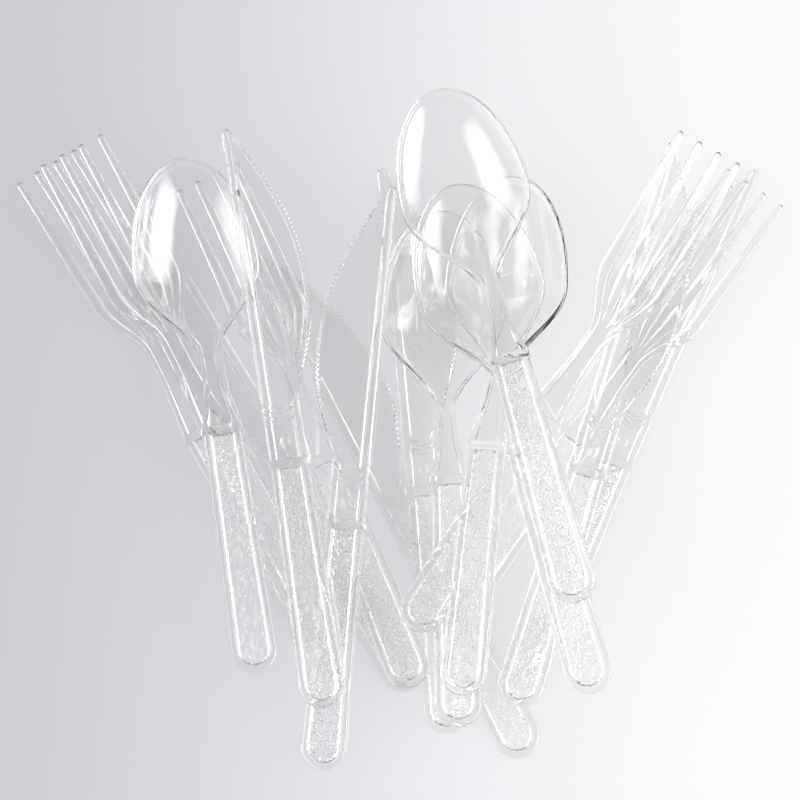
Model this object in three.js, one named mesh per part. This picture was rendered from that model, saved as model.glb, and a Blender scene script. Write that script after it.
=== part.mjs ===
// A set of clear disposable cutlery lying in a loose fan: knives, spoons and forks, heads spread
// and handles crossing. Each piece is one injection moulding in crystal polystyrene.
// Millimetres, +Z up. The origin is on the surface that the set lies on, under its middle.
//
// A piece is drawn lying along +Y, from the end of its handle to its tip, with its face up.
// It is a slab: a grid of points on its middle surface, each with half a thickness.
import * as THREE from 'three';

// The handle that all three kinds share
const handleLength = 78;
const handleEndWidth = 15;
const handleFrontWidth = 12.5;
const railWidth = 2.7;
const railThickness = 3;
const panelThickness = 1.5;
const bevel = 0.5;

// The raised band across the front of the handle
const bandLength = 2.4;
const bandProud = 0.4;

// The knife
const knifeLength = 190;
const knifeFrontLength = 11;
const knifeFrontThickness = 1.7;
const bossWidth = 3;
const bossLength = 4.6;
const bossThickness = 2.7;
const scallopDepth = 5;
const scallopRim = 1;
const scallopGap = 1.8;
const spineWidth = 3.3;
const spineThickness = 2.6;
const spineTipThickness = 1.6;
const bladeWidth = 21.5;
const bladeWidestAt = 32;
const bladeTipWidth = 3.2;
const bladeTaper = 1.25;
const webThickness = 1;
const edgeThickness = 0.5;

// The neck of the spoon and the fork
const neckThickness = 3;
const neckPanelThickness = 2;
const neckLength = 9;
const neckDrawnHalfway = 0.6;

// The spoon
const spoonLength = 168;
const spoonNeckWidth = 6.5;
const spoonNeckRail = 1.7;
const bowlLength = 64;
const bowlWidth = 41;
const bowlDepth = 8.5;
const bowlThickness = 1.3;
const bowlRimThickness = 1.7;
const bowlTilt = 0.1;
const tiltRun = 15;
const bowlWidestAt = 0.44;
const bowlShoulder = 0.9;
const bowlDeepestAt = 0.52;
const bowlTipPower = 2.6;
const bowlNeckPower = 1.8;
const spoonDrop = 6;

// The fork
const forkLength = 180;
const forkNeckWidth = 8;
const forkNeckRail = 2;
const forkHeadWidth = 25;
const tineLength = 47;
const tineRootWidth = 4.2;
const tineTipWidth = 1.9;
const tineThickness = 2.2;
const tineTipThickness = 1.5;
const tineTaper = 1.3;
const palmLength = 22;
const palmBendAt = 0.6;
const forkDrop = 9;
const forkRise = 13;
const forkCurl = 1.8;

// How the pieces lie: the gap that is left where two pieces touch
const restGap = 0.3;

// Every slab has as many points across it
const COLUMNS = 8;

// Less than any size or area that matters
const TINY = 1e-7;

function clamp01(t) {
  return Math.min(1, Math.max(0, t));
}

function smooth(from, to, y) {
  const t = clamp01((y - from) / (to - from));
  return t * t * (3 - 2 * t);
}

function mix(a, b, t) {
  return a + (b - a) * t;
}

// A cross-section is eight points from left to right, each with half of the thickness there.
// Most sections are the same on both sides, so only the right half is given, outermost first.
function mirrored(rightSide) {
  const right = rightSide.map(([x, thickness]) => ({ x, half: thickness / 2 }));
  const left = right.map(({ x, half }) => ({ x: -x, half }));
  return [...left, ...right.reverse()];
}

// Two rails with a thinner panel between them
function railed(width, rail, thickness, panel) {
  const outer = width / 2;
  const inner = outer - rail;
  return mirrored([
    [outer, thickness - 2 * bevel],
    [outer - bevel, thickness],
    [inner + bevel, thickness],
    [inner, panel],
  ]);
}

// A plain bar of one thickness with bevelled edges
function bar(width, rail, thickness) {
  return railed(width, rail, thickness, thickness);
}

// One row of the grid. The row bows, so that its ends lie further along the piece than its middle.
// lift gives the height of the middle surface, and dish how far it sinks at each point.
function row(y, bow, section, lift = () => 0, dish = () => 0) {
  const left = section[0].x;
  const right = section[COLUMNS - 1].x;
  const centre = (left + right) / 2;
  const reach = (right - left) / 2;
  return section.map(({ x, half }) => {
    const u = (x - centre) / reach;
    const along = y + bow * u * u;
    return { x, y: along, z: lift(along) - dish(u), half };
  });
}

// The closed mesh of a slab. isSlot says which cells of the grid are left open.
function slab(rows, isSlot = () => false) {
  const middle = rows.map((points) => points.map(({ x, y, z }) => new THREE.Vector3(x, y, z)));
  const lastRow = rows.length - 1;
  const lastColumn = COLUMNS - 1;
  const positions = [];
  const indexOf = new Map();

  function normal(i, j) {
    const across = middle[i][Math.min(j + 1, lastColumn)].clone().sub(middle[i][Math.max(j - 1, 0)]);
    const along = middle[Math.min(i + 1, lastRow)][j].clone().sub(middle[Math.max(i - 1, 0)][j]);
    return across.cross(along).normalize();
  }

  function vertex(i, j, side) {
    const key = `${i},${j},${side}`;
    if (!indexOf.has(key)) {
      indexOf.set(key, positions.length / 3);
      const point = middle[i][j].clone().addScaledVector(normal(i, j), side * rows[i][j].half);
      positions.push(point.x, point.y, point.z);
    }
    return indexOf.get(key);
  }

  function isSolid(i, j) {
    return i >= 0 && i < lastRow && j >= 0 && j < lastColumn && !isSlot(i, j);
  }

  const triangles = [];
  function quad(a, b, c, d) {
    triangles.push(a, b, c, a, c, d);
  }

  function wall([i0, j0], [i1, j1]) {
    quad(vertex(i1, j1, 1), vertex(i0, j0, 1), vertex(i0, j0, -1), vertex(i1, j1, -1));
  }

  for (let i = 0; i < lastRow; i += 1) {
    for (let j = 0; j < lastColumn; j += 1) {
      if (!isSolid(i, j)) continue;
      const corners = [[i, j], [i, j + 1], [i + 1, j + 1], [i + 1, j]];
      quad(...corners.map(([a, b]) => vertex(a, b, 1)));
      quad(...corners.map(([a, b]) => vertex(a, b, -1)).reverse());
      if (!isSolid(i - 1, j)) wall(corners[0], corners[1]);
      if (!isSolid(i, j + 1)) wall(corners[1], corners[2]);
      if (!isSolid(i + 1, j)) wall(corners[2], corners[3]);
      if (!isSolid(i, j - 1)) wall(corners[3], corners[0]);
    }
  }

  const geometry = new THREE.BufferGeometry();
  geometry.setAttribute('position', new THREE.Float32BufferAttribute(positions, 3));
  geometry.setIndex(triangles);
  geometry.computeVertexNormals();
  return geometry;
}

// The handle: a rounded end, two rails round a recessed panel, and the raised band at the front
function handleRows(lift) {
  const endRadius = handleEndWidth / 2;
  const panelStart = railWidth;
  const front = handleFrontWidth;
  const bandWidth = front + 2 * bandProud;
  const roundAt = (y) => 2 * Math.sqrt(endRadius ** 2 - (endRadius - y) ** 2);
  const panel = (width) => railed(width, railWidth, railThickness, panelThickness);
  return [
    row(0, bevel, bar(roundAt(bevel), railWidth / 2, railThickness), lift),
    row(bevel, panelStart / 2, bar(roundAt(panelStart / 2), railWidth / 2, railThickness), lift),
    row(panelStart - bevel, panelStart, bar(roundAt(endRadius / 2), railWidth, railThickness), lift),
    row(panelStart, panelStart, panel(roundAt(endRadius / 2 + bevel)), lift),
    row(endRadius, 0, panel(handleEndWidth), lift),
    row(handleLength - bevel, 0, panel(front), lift),
    row(handleLength, 0, bar(bandWidth, railWidth, railThickness), lift),
    row(handleLength + bandLength, 0, bar(bandWidth, railWidth, railThickness), lift),
  ];
}

// The knife: a clear front with a small boss, a double scalloped rim, and a thin blade that hangs
// from a thick straight spine on its left
function knife() {
  const front = handleLength + bandLength;
  const scallop = front + knifeFrontLength;
  const secondRim = scallop + scallopRim + scallopGap;
  const bladeStart = secondRim + scallopRim + 2 * bevel;
  const spine = -handleFrontWidth / 2;
  const bladeRun = knifeLength - bladeStart;

  const clearPart = railed(handleFrontWidth, railWidth, railThickness, knifeFrontThickness);
  const rim = bar(handleFrontWidth, railWidth, spineThickness);
  const groove = railed(handleFrontWidth, railWidth, spineThickness, knifeFrontThickness);

  // The clear part with its two middle points drawn in to the sides of the boss
  function bossSection(thickness) {
    return clearPart.map((point, column) => {
      const isMiddle = column === COLUMNS / 2 - 1 || column === COLUMNS / 2;
      return isMiddle ? { x: (Math.sign(point.x) * bossWidth) / 2, half: thickness / 2 } : point;
    });
  }

  function widthAt(run) {
    if (run < bladeWidestAt) {
      return mix(handleFrontWidth, bladeWidth, Math.sin((Math.PI / 2) * (run / bladeWidestAt)));
    }
    const t = (run - bladeWidestAt) / (bladeRun - bladeWidestAt);
    return mix(bladeTipWidth, bladeWidth, Math.cos((Math.PI / 2) * t ** bladeTaper));
  }

  // From the spine on the left to the cutting edge. The last stretch of the web thins to the edge.
  function bladeSection(run) {
    const width = widthAt(run);
    const bead = mix(spineThickness, spineTipThickness, run / bladeRun);
    const beadWidth = Math.min(spineWidth, width * 0.6);
    const webStart = spine + beadWidth;
    const edge = spine + width;
    return [
      { x: spine, half: bead / 2 - bevel },
      { x: spine + bevel, half: bead / 2 },
      { x: webStart - bevel, half: bead / 2 },
      { x: webStart, half: webThickness / 2 },
      { x: mix(webStart, edge, 0.3), half: webThickness / 2 },
      { x: mix(webStart, edge, 0.6), half: webThickness / 2 },
      { x: mix(webStart, edge, 0.85), half: mix(edgeThickness, webThickness, 0.6) / 2 },
      { x: edge, half: edgeThickness / 2 },
    ];
  }

  const bossStart = front + (knifeFrontLength - bossLength) / 2;
  const rimRows = [
    [scallop, groove],
    [scallop + bevel, rim],
    [scallop + scallopRim, rim],
    [scallop + scallopRim + bevel, groove],
    [secondRim, groove],
    [secondRim + bevel, rim],
    [secondRim + scallopRim, rim],
  ];
  const bladeRows = [0, 0.1, 0.22, 0.35, 0.5, 0.65, 0.78, 0.89, 0.96, 1].map((share) => {
    const run = share * bladeRun;
    const bow = mix(scallopDepth, -bladeTipWidth / 2, smooth(0, 1, share));
    return row(bladeStart + run, bow, bladeSection(run));
  });
  return slab([
    ...handleRows(),
    row(front + bevel, 0, clearPart),
    row(bossStart, 0, bossSection(knifeFrontThickness)),
    row(bossStart + bossLength * 0.3, 0, bossSection(bossThickness)),
    row(bossStart + bossLength * 0.7, 0, bossSection(bossThickness)),
    row(bossStart + bossLength, scallopDepth / 3, bossSection(knifeFrontThickness)),
    ...rimRows.map(([y, section]) => row(y, scallopDepth, section)),
    ...bladeRows,
  ]);
}

// The neck of the spoon or the fork: two ridges, drawn together from the rails of the handle
function neckSection(width, rail) {
  return railed(width, rail, neckThickness, neckPanelThickness);
}

function neckRows(width, rail, neckEnd, lift) {
  const front = handleLength + bandLength;
  const neckStart = neckEnd - neckLength;
  const shoulder = neckSection(handleFrontWidth, railWidth);
  const halfway = neckSection(
    mix(handleFrontWidth, width, neckDrawnHalfway),
    mix(railWidth, rail, neckDrawnHalfway),
  );
  return [
    row(front + bevel, 0, shoulder, lift),
    row(mix(front, neckStart, 0.5), 0, halfway, lift),
    row(neckStart, 0, neckSection(width, rail), lift),
    row(neckEnd, 0, neckSection(width, rail), lift),
  ];
}

// The spoon: its neck dips to an egg-shaped bowl, which tilts up towards its tip
function spoon() {
  const bowlStart = spoonLength - bowlLength;

  function lift(y) {
    const tilt = bowlTilt * Math.max(0, y - bowlStart) * smooth(bowlStart, bowlStart + tiltRun, y);
    return tilt - spoonDrop * smooth(handleLength + bandLength, bowlStart, y);
  }

  // An egg: half an ellipse beyond the widest place, and a soft taper from there to the neck
  function halfWidthAt(t) {
    const halfWidth = bowlWidth / 2;
    if (t > bowlWidestAt) {
      return halfWidth * Math.sqrt(1 - ((t - bowlWidestAt) / (1 - bowlWidestAt)) ** 2);
    }
    const swell = 0.5 - 0.5 * Math.cos(Math.PI * (t / bowlWidestAt) ** bowlShoulder);
    return mix(spoonNeckWidth / 2, halfWidth, swell);
  }

  function depthAt(t) {
    if (t > bowlDeepestAt) {
      return bowlDepth * (1 - ((t - bowlDeepestAt) / (1 - bowlDeepestAt)) ** bowlTipPower);
    }
    return bowlDepth * (1 - ((bowlDeepestAt - t) / bowlDeepestAt) ** bowlNeckPower);
  }

  function bowlRow(t) {
    const halfWidth = halfWidthAt(t);
    const depth = depthAt(t);
    const thinning = smooth(0, 0.3, t);
    const wall = mix(neckPanelThickness, bowlThickness, thinning);
    const rim = mix(neckThickness, bowlRimThickness, thinning);
    const section = mirrored([
      [halfWidth, rim],
      [halfWidth * 0.93, wall],
      [halfWidth * 0.66, wall],
      [halfWidth * 0.25, wall],
    ]);
    // The last rows bow back, so that the tip is closed by a round end
    const bow = t > 0.9 ? (t - 1) * bowlLength : 0;
    return row(bowlStart + t * bowlLength - bow, bow, section, lift, (u) => depth * (1 - u * u));
  }

  return slab([
    ...handleRows(lift),
    ...neckRows(spoonNeckWidth, spoonNeckRail, bowlStart, lift),
    ...[0.05, 0.11, 0.19, 0.3, 0.44, 0.58, 0.71, 0.82, 0.91, 0.98].map(bowlRow),
  ]);
}

// The fork: the same neck, a palm that widens and curves, and four tapered tines
function fork() {
  const rootAt = forkLength - tineLength;
  const palmStart = rootAt - palmLength;
  const tines = COLUMNS / 2;
  const spacing = (forkHeadWidth - tineRootWidth) / (tines - 1);
  const bendAt = mix(palmStart, rootAt, palmBendAt);

  function lift(y) {
    const t = clamp01((y - bendAt) / (forkLength - bendAt));
    return forkRise * t ** forkCurl - forkDrop * smooth(handleLength + bandLength, bendAt, y);
  }

  // Each tine is the strip between columns 2k and 2k + 1
  function tineSection(width, thickness) {
    return Array.from({ length: COLUMNS }, (_, column) => {
      const centre = (Math.floor(column / 2) - (tines - 1) / 2) * spacing;
      const side = column % 2 === 0 ? -1 : 1;
      return { x: centre + (side * width) / 2, half: thickness / 2 };
    });
  }

  const root = tineSection(tineRootWidth, tineThickness);
  const neck = neckSection(forkNeckWidth, forkNeckRail);

  function palmRow(share) {
    const widening = smooth(0, 1, share);
    const section = neck.map((point, column) => ({
      x: mix(point.x, root[column].x, widening),
      half: mix(point.half, root[column].half, widening),
    }));
    return row(mix(palmStart, rootAt, share), 0, section, lift);
  }

  function tineRow(share) {
    const width = mix(tineRootWidth, tineTipWidth, share ** tineTaper);
    const thickness = mix(tineThickness, tineTipThickness, share);
    return row(rootAt + share * tineLength, 0, tineSection(width, thickness), lift);
  }

  const tip = row(forkLength, 0, tineSection(tineTipWidth / 2, tineTipThickness), lift);
  const rowsToRoot = [
    ...handleRows(lift),
    ...neckRows(forkNeckWidth, forkNeckRail, palmStart, lift),
    ...[0.25, 0.5, 0.75, 1].map(palmRow),
  ];
  const firstSlotRow = rowsToRoot.length - 1;
  const rows = [...rowsToRoot, ...[0.25, 0.5, 0.75, 0.97].map(tineRow), tip];
  return slab(rows, (i, j) => i >= firstSlotRow && j % 2 === 1);
}

const shapes = { knife: knife(), spoon: spoon(), fork: fork() };
const lengths = { knife: knifeLength, spoon: spoonLength, fork: forkLength };

// The pieces in the order in which they are laid down. tip is where the tip comes to lie, across
// and up from the foot of the fan, in lengths of a knife. lean is in degrees from +Y towards -X,
// and over turns the piece on its face.
const layout = [
  { name: 'knife_2', kind: 'knife', tip: [-0.226, 0.816], lean: 27 },
  { name: 'knife_7', kind: 'knife', tip: [-0.479, 0.895], lean: 31, over: true },
  { name: 'knife_6', kind: 'knife', tip: [0.621, 0.963], lean: -24, over: true },
  { name: 'knife_4', kind: 'knife', tip: [0.005, 0.958], lean: 5 },
  { name: 'fork_3', kind: 'fork', tip: [-0.316, 0.921], lean: 22 },
  { name: 'fork_5', kind: 'fork', tip: [0.626, 0.895], lean: -36 },
  { name: 'spoon_4', kind: 'spoon', tip: [0.079, 0.858], lean: 2 },
  { name: 'knife_5', kind: 'knife', tip: [0.5, 0.963], lean: -17 },
  { name: 'fork_2', kind: 'fork', tip: [-0.595, 0.937], lean: 30 },
  { name: 'fork_4', kind: 'fork', tip: [0.542, 0.932], lean: -33 },
  { name: 'spoon_5', kind: 'spoon', tip: [0.211, 0.905], lean: -6 },
  { name: 'fork_1', kind: 'fork', tip: [-0.553, 0.958], lean: 28 },
  { name: 'spoon_3', kind: 'spoon', tip: [0.1, 0.884], lean: 15 },
  { name: 'knife_3', kind: 'knife', tip: [-0.021, 0.895], lean: -6, over: true },
  { name: 'spoon_1', kind: 'spoon', tip: [-0.368, 0.937], lean: 9 },
  { name: 'knife_1', kind: 'knife', tip: [-0.258, 0.995], lean: 8 },
  { name: 'spoon_2', kind: 'spoon', tip: [0.074, 1.032], lean: 15 },
];

// Laying down: the pile so far is a square map of heights in cells, and each piece comes down on it.
// The middle of the map is near the middle of the fan, and a fifth more than the longest piece lies
// on each side of it.
const fanMiddle = [0, knifeLength / 2];
const mapHalf = 1.2 * Math.max(...Object.values(lengths));
const mapSide = 440;
const cell = (2 * mapHalf) / mapSide;
const pile = new Float64Array(mapSide * mapSide);

function cellOf(x, y) {
  return [Math.floor((x + mapHalf) / cell), Math.floor((y + mapHalf) / cell)];
}

// The middle of a cell, from its place in the map
function middleOf(i, j) {
  return [(i + 0.5) * cell - mapHalf, (j + 0.5) * cell - mapHalf];
}

// Twice the area of the triangle a b c, seen from above
function spread(a, b, c) {
  return (b.x - a.x) * (c.y - a.y) - (c.x - a.x) * (b.y - a.y);
}

// The lowest and highest point of a placed piece over each cell that it covers
function coverage(points, index) {
  const cells = new Map();

  function mark(i, j, z) {
    const key = j * mapSide + i;
    const seen = cells.get(key) ?? { low: z, high: z };
    cells.set(key, { low: Math.min(seen.low, z), high: Math.max(seen.high, z) });
  }

  for (let k = 0; k < index.length; k += 3) {
    const [a, b, c] = [points[index[k]], points[index[k + 1]], points[index[k + 2]]];
    for (const p of [a, b, c]) mark(...cellOf(p.x, p.y), p.z);
    const area = spread(a, b, c);
    if (Math.abs(area) < TINY) continue;
    const [i0, j0] = cellOf(Math.min(a.x, b.x, c.x), Math.min(a.y, b.y, c.y));
    const [i1, j1] = cellOf(Math.max(a.x, b.x, c.x), Math.max(a.y, b.y, c.y));
    for (let j = j0; j <= j1; j += 1) {
      for (let i = i0; i <= i1; i += 1) {
        const [x, y] = middleOf(i, j);
        const s = spread(a, { x, y }, c) / area;
        const t = spread(a, b, { x, y }) / area;
        if (s >= 0 && t >= 0 && s + t <= 1) mark(i, j, a.z + s * (b.z - a.z) + t * (c.z - a.z));
      }
    }
  }
  return cells;
}

// The height of the pile round a cell, so that a neighbour's side is kept clear too
function pileNear(key) {
  let top = 0;
  for (const dj of [-mapSide, 0, mapSide]) {
    for (const di of [-1, 0, 1]) top = Math.max(top, pile[key + dj + di]);
  }
  return top;
}

// How far the piece has to rise over each cell, about its own centre
function contacts(cells, centre) {
  return [...cells].map(([key, { low }]) => {
    const top = pileNear(key);
    const [x, y] = middleOf(key % mapSide, Math.floor(key / mapSide));
    return { x: x - centre.x, y: y - centre.y, rise: (top > 0 ? top + restGap : 0) - low };
  });
}

// The plane z = rise + a x + b y through three contacts
function planeThrough([p, q, r]) {
  const area = spread(p, q, r);
  const a = ((q.rise - p.rise) * (r.y - p.y) - (r.rise - p.rise) * (q.y - p.y)) / area;
  const b = ((q.x - p.x) * (r.rise - p.rise) - (r.x - p.x) * (q.rise - p.rise)) / area;
  return { a, b, rise: p.rise - a * p.x - b * p.y };
}

// Whether the centre of mass is over the triangle of three contacts
function holdsCentre([p, q, r]) {
  const centre = { x: 0, y: 0 };
  const sides = [spread(centre, p, q), spread(centre, q, r), spread(centre, r, p)];
  return sides.every((side) => side >= 0) || sides.every((side) => side <= 0);
}

// The three contacts that carry the piece: the triangle round its centre of mass under which
// no other contact is left too low. It starts far out and far down, and takes in one contact
// after another.
function support(points) {
  const far = 1e4;
  const mostSteps = 200;
  let triangle = [[far, 0], [-far, far], [-far, -far]].map(([x, y]) => ({ x, y, rise: -far }));
  for (let step = 0; step < mostSteps; step += 1) {
    const plane = planeThrough(triangle);
    let worst = null;
    let most = TINY;
    for (const point of points) {
      const short = point.rise - (plane.rise + plane.a * point.x + plane.b * point.y);
      if (short > most) [worst, most] = [point, short];
    }
    if (!worst) return plane;
    const choices = [0, 1, 2].map((k) => triangle.map((p, n) => (n === k ? worst : p)));
    const isSound = (choice) => Math.abs(spread(...choice)) > TINY && holdsCentre(choice);
    triangle = choices.find(isSound) ?? triangle;
  }
  return planeThrough(triangle);
}

// The centre of mass of a closed mesh
function massCentre(geometry) {
  const place = geometry.getAttribute('position');
  const index = geometry.getIndex().array;
  const sum = new THREE.Vector3();
  let volume = 0;
  for (let k = 0; k < index.length; k += 3) {
    const [a, b, c] = [0, 1, 2].map((n) => new THREE.Vector3().fromBufferAttribute(place, index[k + n]));
    const part = a.dot(b.clone().cross(c)) / 6;
    volume += part;
    sum.addScaledVector(a.add(b).add(c), part / 4);
  }
  return sum.divideScalar(volume);
}

const material = new THREE.MeshStandardMaterial({ color: 0xe6ebef, roughness: 0.06, metalness: 0 });

// Lays one piece on the pile: it turns to its lean, comes down, and tilts until three contacts
// carry it
function lay({ name, kind, tip, lean, over = false }) {
  const geometry = shapes[kind];
  const centre = massCentre(geometry);
  const upwards = new THREE.Vector3(0, 0, 1);
  const lengthwise = new THREE.Vector3(0, 1, 0);
  const turn = new THREE.Quaternion().setFromAxisAngle(upwards, THREE.MathUtils.degToRad(lean));
  if (over) turn.multiply(new THREE.Quaternion().setFromAxisAngle(lengthwise, Math.PI));
  const reach = new THREE.Vector3(0, lengths[kind], 0).sub(centre).applyQuaternion(turn);
  const [tipX, tipY] = tip.map((share, n) => share * knifeLength - fanMiddle[n]);
  const middle = new THREE.Vector3(tipX - reach.x, tipY - reach.y, 0);

  const place = geometry.getAttribute('position');
  const index = geometry.getIndex().array;
  const points = Array.from({ length: place.count }, () => new THREE.Vector3());
  function put() {
    points.forEach((point, n) => {
      point.fromBufferAttribute(place, n).sub(centre).applyQuaternion(turn).add(middle);
    });
  }

  const rounds = 8;
  for (let round = 0; round < rounds; round += 1) {
    put();
    const plane = support(contacts(coverage(points, index), middle));
    middle.z += plane.rise;
    const tilt = new THREE.Vector3(plane.b, -plane.a, 0);
    const angle = tilt.length();
    if (angle > TINY) {
      const axis = tilt.divideScalar(angle);
      turn.premultiply(new THREE.Quaternion().setFromAxisAngle(axis, Math.atan(angle)));
    }
  }
  put();
  middle.z += Math.max(...contacts(coverage(points, index), middle).map(({ rise }) => rise));
  put();
  for (const [key, { high }] of coverage(points, index)) pile[key] = Math.max(pile[key], high);

  const mesh = new THREE.Mesh(geometry, material.clone());
  mesh.name = name;
  mesh.quaternion.copy(turn);
  mesh.position.copy(middle).sub(centre.clone().applyQuaternion(turn));
  return mesh;
}

const set = new THREE.Group();
set.name = 'cutlery_set';
for (const piece of layout) set.add(lay(piece));

// The origin goes under the middle of the whole set, on the surface that it lies on
const box = new THREE.Box3().setFromObject(set, true);
const boxCentre = box.getCenter(new THREE.Vector3());
set.position.set(-boxCentre.x, -boxCentre.y, -box.min.z);
set.updateMatrixWorld(true);

export default set;
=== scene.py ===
# %% [markdown]
# Clear disposable cutlery in Blender.
# The set is a loose fan of knives, spoons and forks. Each one is a single injection moulding in
# crystal polystyrene: a stiff, glass-clear plastic that shows itself mostly by its edges. So the
# lesson is about thin clear forms: rails, lips, flutes and teeth, each with a real rounded edge,
# because a rounded edge is what catches the light and draws the line that the eye sees.
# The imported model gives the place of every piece. Nothing here moves or resizes one.

# %% Load the frame
import math

import bpy
import numpy as np
from mathutils import Matrix, Vector
from mathutils.bvhtree import BVHTree


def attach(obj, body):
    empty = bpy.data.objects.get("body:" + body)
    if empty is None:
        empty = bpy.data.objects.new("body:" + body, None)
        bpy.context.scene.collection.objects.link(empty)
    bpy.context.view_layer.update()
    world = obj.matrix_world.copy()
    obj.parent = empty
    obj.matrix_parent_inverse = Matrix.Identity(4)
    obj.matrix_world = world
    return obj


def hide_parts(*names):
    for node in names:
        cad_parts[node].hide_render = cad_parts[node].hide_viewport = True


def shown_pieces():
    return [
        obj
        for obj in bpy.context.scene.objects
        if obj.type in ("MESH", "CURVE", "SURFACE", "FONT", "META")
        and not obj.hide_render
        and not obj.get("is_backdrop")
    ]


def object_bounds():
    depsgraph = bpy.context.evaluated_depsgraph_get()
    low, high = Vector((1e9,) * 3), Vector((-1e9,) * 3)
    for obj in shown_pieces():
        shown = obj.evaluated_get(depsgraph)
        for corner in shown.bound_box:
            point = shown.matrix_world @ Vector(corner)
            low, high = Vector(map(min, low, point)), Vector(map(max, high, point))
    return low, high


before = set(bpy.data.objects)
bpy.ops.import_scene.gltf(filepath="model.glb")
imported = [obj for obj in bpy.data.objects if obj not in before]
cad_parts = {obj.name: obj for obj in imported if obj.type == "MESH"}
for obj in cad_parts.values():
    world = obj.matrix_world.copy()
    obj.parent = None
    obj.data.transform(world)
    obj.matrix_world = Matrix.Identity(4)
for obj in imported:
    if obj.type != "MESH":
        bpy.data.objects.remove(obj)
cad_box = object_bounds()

MM = 0.001
size = cad_box[1] - cad_box[0]
print("the set measures", [round(side / MM, 1) for side in size], "mm, in", len(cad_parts), "pieces")

# %% [markdown]
# The sizes of the mouldings, in millimetres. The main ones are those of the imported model, so that a
# fine mesh fits over each plain solid. A designer would set these first, because everything after
# this cell is worked out from them. A few are shares instead, such as where a bowl is widest and
# deepest, and a few are the powers that bend a curve.

# %% Sizes
# The handle that all three kinds share
HANDLE_LENGTH = 78
HANDLE_END_WIDTH = 15
HANDLE_FRONT_WIDTH = 12.5
RAIL_WIDTH = 2.7
RAIL_THICKNESS = 3
PANEL_THICKNESS = 1.5
EDGE_RADIUS = 0.6
RAIL_CROWN = 0.9
BAND_LENGTH = 2.4
BAND_PROUD = 0.4
BAND_CROWN = 0.12
FRONT = HANDLE_LENGTH + BAND_LENGTH
# The knife
KNIFE_LENGTH = 190
KNIFE_FRONT_LENGTH = 11
KNIFE_FRONT_THICKNESS = 1.7
BOSS_WIDTH = 3
BOSS_LENGTH = 4.6
BOSS_THICKNESS = 2.7
SCALLOP_DEPTH = 5
SCALLOP_RIM = 1
SCALLOP_GAP = 1.8
SPINE_WIDTH = 3.3
SPINE_THICKNESS = 2.6
SPINE_TIP_THICKNESS = 1.6
BLADE_WIDTH = 21.5
BLADE_WIDEST_AT = 32
BLADE_TIP_WIDTH = 3.2
BLADE_TAPER = 1.25
WEB_THICKNESS = 1
EDGE_THICKNESS = 0.5
EDGE_ZONE = 2.2
TOOTH_PITCH = 1.7
TOOTH_DEPTH = 0.7
TOOTH_BEAD = 1.4
TOOTH_ZONE = 1.5
TOOTH_SLANT = 0.6
TOOTH_THINNING = 0.88
# The teeth grow in between the first two distances from the root, and fade between the last two
# distances from the tip
TEETH_IN = (4, 9)
TEETH_OUT = (7, 3)
# The neck of the spoon and the fork
NECK_THICKNESS = 3
NECK_PANEL_THICKNESS = 2
NECK_LENGTH = 9
# The spoon
SPOON_LENGTH = 168
SPOON_NECK_WIDTH = 6.5
SPOON_NECK_RAIL = 1.7
BOWL_LENGTH = 64
BOWL_WIDTH = 41
BOWL_DEPTH = 8.5
BOWL_THICKNESS = 1.1
BOWL_RIM_THICKNESS = 1.7
BOWL_RIM_WIDTH = 1.25
BOWL_TILT = 0.1
BOWL_TILT_START = 15
BOWL_WIDEST_AT = 0.44
BOWL_DEEPEST_AT = 0.52
BOWL_SHOULDER = 0.9
BOWL_TIP_POWER = 2.6
BOWL_NECK_POWER = 1.8
RIDGES_END_AT = 0.28
SPOON_DROP = 6
# The fork
FORK_LENGTH = 180
FORK_NECK_WIDTH = 8
FORK_NECK_RAIL = 2
FORK_HEAD_WIDTH = 25
TINES = 4
TINE_LENGTH = 47
TINE_ROOT_WIDTH = 4.2
TINE_TIP_WIDTH = 1.9
TINE_THICKNESS = 2.2
TINE_TIP_THICKNESS = 1.5
PALM_LENGTH = 22
PALM_WEB_THICKNESS = 1
TINE_FLANK = 0.4
TINE_TAPER = 1.3
FORK_BEND_AT = 0.6
FORK_CURL = 1.8
FORK_DROP = 9
FORK_RISE = 13
print("knife", KNIFE_LENGTH, "fork", FORK_LENGTH, "spoon", SPOON_LENGTH, "mm long")

# %% [markdown]
# How to make a thin moulding. A boolean or a subdivided cage would do, but a moulding is really a
# sheet with a thickness that changes from place to place: thick at a rail, thin in a web. So each
# kind is drawn as a slab. A grid of points lies on its middle surface, and each point holds half of
# the thickness there. The grid is then copied to both faces, and its edges are walled.
# The grid has 40 columns: ten for each outer rail and 20 between, which on the fork become
# four tines of ten.

# %% The slab
BLOCK = 10
COLUMNS = TINES * BLOCK


def mix(a, b, t):
    return a + (b - a) * t


def smooth(start, end, value):
    t = np.clip((value - start) / (end - start), 0, 1)
    return t * t * (3 - 2 * t)


def steps(start, end, pitch):
    """Evenly spaced values from start up to, and without, end."""
    count = max(1, round((end - start) / pitch))
    return list(np.linspace(start, end, count, endpoint=False))


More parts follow.
